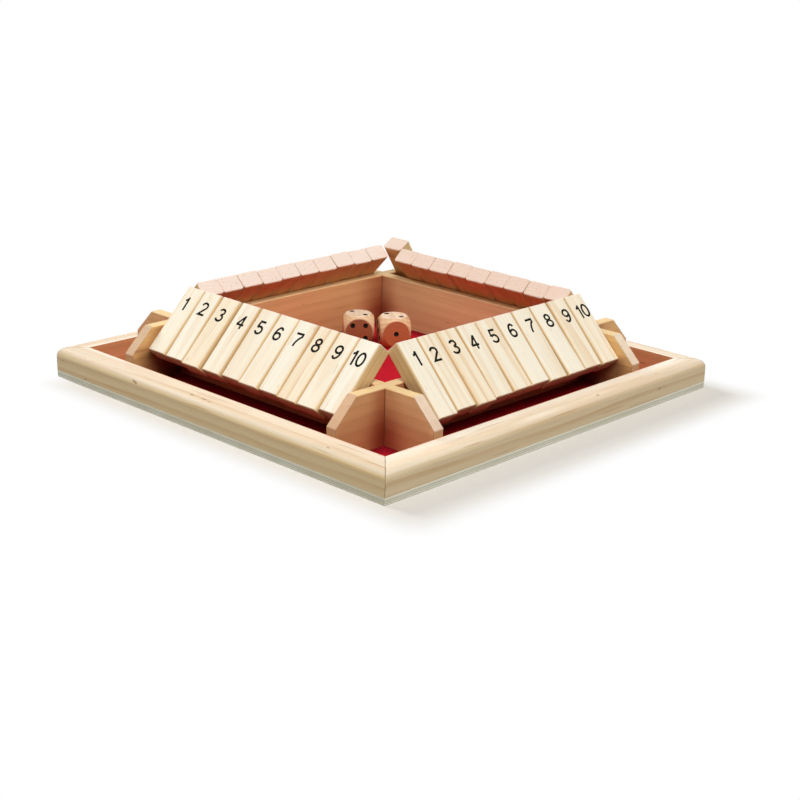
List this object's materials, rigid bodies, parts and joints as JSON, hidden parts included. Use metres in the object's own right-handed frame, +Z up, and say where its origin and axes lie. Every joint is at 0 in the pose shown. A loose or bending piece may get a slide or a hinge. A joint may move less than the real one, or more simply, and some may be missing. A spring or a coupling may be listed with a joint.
{
  "type": "shut the box game",
  "caption": "Square wooden shut the box game: a felt-floored dice tray walled in by rows of number tiles that flip on hidden rods, inside a low rounded rim, with wooden dice.",
  "frame": {"origin": "centre of the underside of the base board, on the table", "axes": "+Z up; the front row of tiles faces -Y and its numbers run from low to high towards +X; the other rows are the front row turned by quarter turns"},
  "size_m": [0.225, 0.225, 0.0506],
  "materials": {
    "base_plywood": "raw sanded plywood",
    "red_felt": "short pressed felt",
    "rim_pine": "clear satin lacquer",
    "wall_pine": "clear satin lacquer",
    "rod_steel": "drawn wire",
    "tile_pine": "fine sanded, matt",
    "dice_wood": "tumbled, waxed",
    "black_ink": "printed ink"
  },
  "bodies": {
    "box": {"base_board": "base_plywood", "felt_floor": "red_felt", "rim_front": "rim_pine", "rim_right": "rim_pine", "rim_back": "rim_pine", "rim_left": "rim_pine", "wall_front": "wall_pine", "wall_right": "wall_pine", "wall_back": "wall_pine", "wall_left": "wall_pine", "rod_front": "rod_steel", "rod_right": "rod_steel", "rod_back": "rod_steel", "rod_left": "rod_steel"},
    "tile_front_1": {"tile_front_1": "tile_pine"},
    "tile_front_2": {"tile_front_2": "tile_pine"},
    "tile_front_3": {"tile_front_3": "tile_pine"},
    "tile_front_4": {"tile_front_4": "tile_pine"},
    "tile_front_5": {"tile_front_5": "tile_pine"},
    "tile_front_6": {"tile_front_6": "tile_pine"},
    "tile_front_7": {"tile_front_7": "tile_pine"},
    "tile_front_8": {"tile_front_8": "tile_pine"},
    "tile_front_9": {"tile_front_9": "tile_pine"},
    "tile_front_10": {"tile_front_10": "tile_pine"},
    "tile_right_1": {"tile_right_1": "tile_pine"},
    "tile_right_2": {"tile_right_2": "tile_pine"},
    "tile_right_3": {"tile_right_3": "tile_pine"},
    "tile_right_4": {"tile_right_4": "tile_pine"},
    "tile_right_5": {"tile_right_5": "tile_pine"},
    "tile_right_6": {"tile_right_6": "tile_pine"},
    "tile_right_7": {"tile_right_7": "tile_pine"},
    "tile_right_8": {"tile_right_8": "tile_pine"},
    "tile_right_9": {"tile_right_9": "tile_pine"},
    "tile_right_10": {"tile_right_10": "tile_pine"},
    "tile_back_1": {"tile_back_1": "tile_pine"},
    "tile_back_2": {"tile_back_2": "tile_pine"},
    "tile_back_3": {"tile_back_3": "tile_pine"},
    "tile_back_4": {"tile_back_4": "tile_pine"},
    "tile_back_5": {"tile_back_5": "tile_pine"},
    "tile_back_6": {"tile_back_6": "tile_pine"},
    "tile_back_7": {"tile_back_7": "tile_pine"},
    "tile_back_8": {"tile_back_8": "tile_pine"},
    "tile_back_9": {"tile_back_9": "tile_pine"},
    "tile_back_10": {"tile_back_10": "tile_pine"},
    "tile_left_1": {"tile_left_1": "tile_pine"},
    "tile_left_2": {"tile_left_2": "tile_pine"},
    "tile_left_3": {"tile_left_3": "tile_pine"},
    "tile_left_4": {"tile_left_4": "tile_pine"},
    "tile_left_5": {"tile_left_5": "tile_pine"},
    "tile_left_6": {"tile_left_6": "tile_pine"},
    "tile_left_7": {"tile_left_7": "tile_pine"},
    "tile_left_8": {"tile_left_8": "tile_pine"},
    "tile_left_9": {"tile_left_9": "tile_pine"},
    "tile_left_10": {"tile_left_10": "tile_pine"},
    "die_left": {"die_left": "dice_wood"},
    "die_right": {"die_right": "dice_wood"}
  },
  "joints": [
    {"name": "flip_front_1", "type": "hinge", "parent": "box", "child": "tile_front_1", "pos_m": [-0.05905, -0.086, 0.022], "axis": [1, 0, 0], "range_deg": [0, 140.1]},
    {"name": "flip_front_2", "type": "hinge", "parent": "box", "child": "tile_front_2", "pos_m": [-0.04625, -0.086, 0.022], "axis": [1, 0, 0], "range_deg": [0, 139.6]},
    {"name": "flip_front_3", "type": "hinge", "parent": "box", "child": "tile_front_3", "pos_m": [-0.03335, -0.086, 0.022], "axis": [1, 0, 0], "range_deg": [0, 140.1]},
    {"name": "flip_front_4", "type": "hinge", "parent": "box", "child": "tile_front_4", "pos_m": [-0.01915, -0.086, 0.022], "axis": [1, 0, 0], "range_deg": [0, 139.8]},
    {"name": "flip_front_5", "type": "hinge", "parent": "box", "child": "tile_front_5", "pos_m": [-0.00555, -0.086, 0.022], "axis": [1, 0, 0], "range_deg": [0, 139.7]},
    {"name": "flip_front_6", "type": "hinge", "parent": "box", "child": "tile_front_6", "pos_m": [0.00715, -0.086, 0.022], "axis": [1, 0, 0], "range_deg": [0, 140.2]},
    {"name": "flip_front_7", "type": "hinge", "parent": "box", "child": "tile_front_7", "pos_m": [0.01985, -0.086, 0.022], "axis": [1, 0, 0], "range_deg": [0, 139.6]},
    {"name": "flip_front_8", "type": "hinge", "parent": "box", "child": "tile_front_8", "pos_m": [0.03285, -0.086, 0.022], "axis": [1, 0, 0], "range_deg": [0, 140]},
    {"name": "flip_front_9", "type": "hinge", "parent": "box", "child": "tile_front_9", "pos_m": [0.04565, -0.086, 0.022], "axis": [1, 0, 0], "range_deg": [0, 140]},
    {"name": "flip_front_10", "type": "hinge", "parent": "box", "child": "tile_front_10", "pos_m": [0.05835, -0.086, 0.022], "axis": [1, 0, 0], "range_deg": [0, 139.6]},
    {"name": "flip_right_1", "type": "hinge", "parent": "box", "child": "tile_right_1", "pos_m": [0.086, -0.05505, 0.022], "axis": [0, 1, 0], "range_deg": [0, 139.7]},
    {"name": "flip_right_2", "type": "hinge", "parent": "box", "child": "tile_right_2", "pos_m": [0.086, -0.04245, 0.022], "axis": [0, 1, 0], "range_deg": [0, 139.8]},
    {"name": "flip_right_3", "type": "hinge", "parent": "box", "child": "tile_right_3", "pos_m": [0.086, -0.02985, 0.022], "axis": [0, 1, 0], "range_deg": [0, 140.1]},
    {"name": "flip_right_4", "type": "hinge", "parent": "box", "child": "tile_right_4", "pos_m": [0.086, -0.01725, 0.022], "axis": [0, 1, 0], "range_deg": [0, 139.6]},
    {"name": "flip_right_5", "type": "hinge", "parent": "box", "child": "tile_right_5", "pos_m": [0.086, -0.00455, 0.022], "axis": [0, 1, 0], "range_deg": [0, 140.1]},
    {"name": "flip_right_6", "type": "hinge", "parent": "box", "child": "tile_right_6", "pos_m": [0.086, 0.00815, 0.022], "axis": [0, 1, 0], "range_deg": [0, 139.9]},
    {"name": "flip_right_7", "type": "hinge", "parent": "box", "child": "tile_right_7", "pos_m": [0.086, 0.02095, 0.022], "axis": [0, 1, 0], "range_deg": [0, 139.7]},
    {"name": "flip_right_8", "type": "hinge", "parent": "box", "child": "tile_right_8", "pos_m": [0.086, 0.03395, 0.022], "axis": [0, 1, 0], "range_deg": [0, 140.2]},
    {"name": "flip_right_9", "type": "hinge", "parent": "box", "child": "tile_right_9", "pos_m": [0.086, 0.04705, 0.022], "axis": [0, 1, 0], "range_deg": [0, 139.6]},
    {"name": "flip_right_10", "type": "hinge", "parent": "box", "child": "tile_right_10", "pos_m": [0.086, 0.06005, 0.022], "axis": [0, 1, 0], "range_deg": [0, 139.9]},
    {"name": "flip_back_1", "type": "hinge", "parent": "box", "child": "tile_back_1", "pos_m": [0.05495, 0.086, 0.022], "axis": [-1, 0, 0], "range_deg": [0, 139.6]},
    {"name": "flip_back_2", "type": "hinge", "parent": "box", "child": "tile_back_2", "pos_m": [0.04225, 0.086, 0.022], "axis": [-1, 0, 0], "range_deg": [0, 140.1]},
    {"name": "flip_back_3", "type": "hinge", "parent": "box", "child": "tile_back_3", "pos_m": [0.02925, 0.086, 0.022], "axis": [-1, 0, 0], "range_deg": [0, 139.8]},
    {"name": "flip_back_4", "type": "hinge", "parent": "box", "child": "tile_back_4", "pos_m": [0.01665, 0.086, 0.022], "axis": [-1, 0, 0], "range_deg": [0, 139.7]},
    {"name": "flip_back_5", "type": "hinge", "parent": "box", "child": "tile_back_5", "pos_m": [0.00385, 0.086, 0.022], "axis": [-1, 0, 0], "range_deg": [0, 140.1]},
    {"name": "flip_back_6", "type": "hinge", "parent": "box", "child": "tile_back_6", "pos_m": [-0.00875, 0.086, 0.022], "axis": [-1, 0, 0], "range_deg": [0, 139.6]},
    {"name": "flip_back_7", "type": "hinge", "parent": "box", "child": "tile_back_7", "pos_m": [-0.02175, 0.086, 0.022], "axis": [-1, 0, 0], "range_deg": [0, 140]},
    {"name": "flip_back_8", "type": "hinge", "parent": "box", "child": "tile_back_8", "pos_m": [-0.03455, 0.086, 0.022], "axis": [-1, 0, 0], "range_deg": [0, 139.9]},
    {"name": "flip_back_9", "type": "hinge", "parent": "box", "child": "tile_back_9", "pos_m": [-0.04715, 0.086, 0.022], "axis": [-1, 0, 0], "range_deg": [0, 139.6]},
    {"name": "flip_back_10", "type": "hinge", "parent": "box", "child": "tile_back_10", "pos_m": [-0.06005, 0.086, 0.022], "axis": [-1, 0, 0], "range_deg": [0, 127.3]},
    {"name": "flip_left_1", "type": "hinge", "parent": "box", "child": "tile_left_1", "pos_m": [-0.086, 0.05995, 0.022], "axis": [0, -1, 0], "range_deg": [0, 139.8]},
    {"name": "flip_left_2", "type": "hinge", "parent": "box", "child": "tile_left_2", "pos_m": [-0.086, 0.04715, 0.022], "axis": [0, -1, 0], "range_deg": [0, 140.1]},
    {"name": "flip_left_3", "type": "hinge", "parent": "box", "child": "tile_left_3", "pos_m": [-0.086, 0.03455, 0.022], "axis": [0, -1, 0], "range_deg": [0, 139.6]},
    {"name": "flip_left_4", "type": "hinge", "parent": "box", "child": "tile_left_4", "pos_m": [-0.086, 0.02155, 0.022], "axis": [0, -1, 0], "range_deg": [0, 140.1]},
    {"name": "flip_left_5", "type": "hinge", "parent": "box", "child": "tile_left_5", "pos_m": [-0.086, 0.00885, 0.022], "axis": [0, -1, 0], "range_deg": [0, 139.8]},
    {"name": "flip_left_6", "type": "hinge", "parent": "box", "child": "tile_left_6", "pos_m": [-0.086, -0.00395, 0.022], "axis": [0, -1, 0], "range_deg": [0, 139.7]},
    {"name": "flip_left_7", "type": "hinge", "parent": "box", "child": "tile_left_7", "pos_m": [-0.086, -0.01655, 0.022], "axis": [0, -1, 0], "range_deg": [0, 140.2]},
    {"name": "flip_left_8", "type": "hinge", "parent": "box", "child": "tile_left_8", "pos_m": [-0.086, -0.02935, 0.022], "axis": [0, -1, 0], "range_deg": [0, 139.6]},
    {"name": "flip_left_9", "type": "hinge", "parent": "box", "child": "tile_left_9", "pos_m": [-0.086, -0.04225, 0.022], "axis": [0, -1, 0], "range_deg": [0, 139.9]},
    {"name": "flip_left_10", "type": "hinge", "parent": "box", "child": "tile_left_10", "pos_m": [-0.086, -0.05485, 0.022], "axis": [0, -1, 0], "range_deg": [0, 140]},
    {"name": "lift_die_left", "type": "slide", "parent": "box", "child": "die_left", "axis": [0, 0, 1], "range_m": [0, 0.06]},
    {"name": "lift_die_right", "type": "slide", "parent": "box", "child": "die_right", "axis": [0, 0, 1], "range_m": [0, 0.06]}
  ]
}
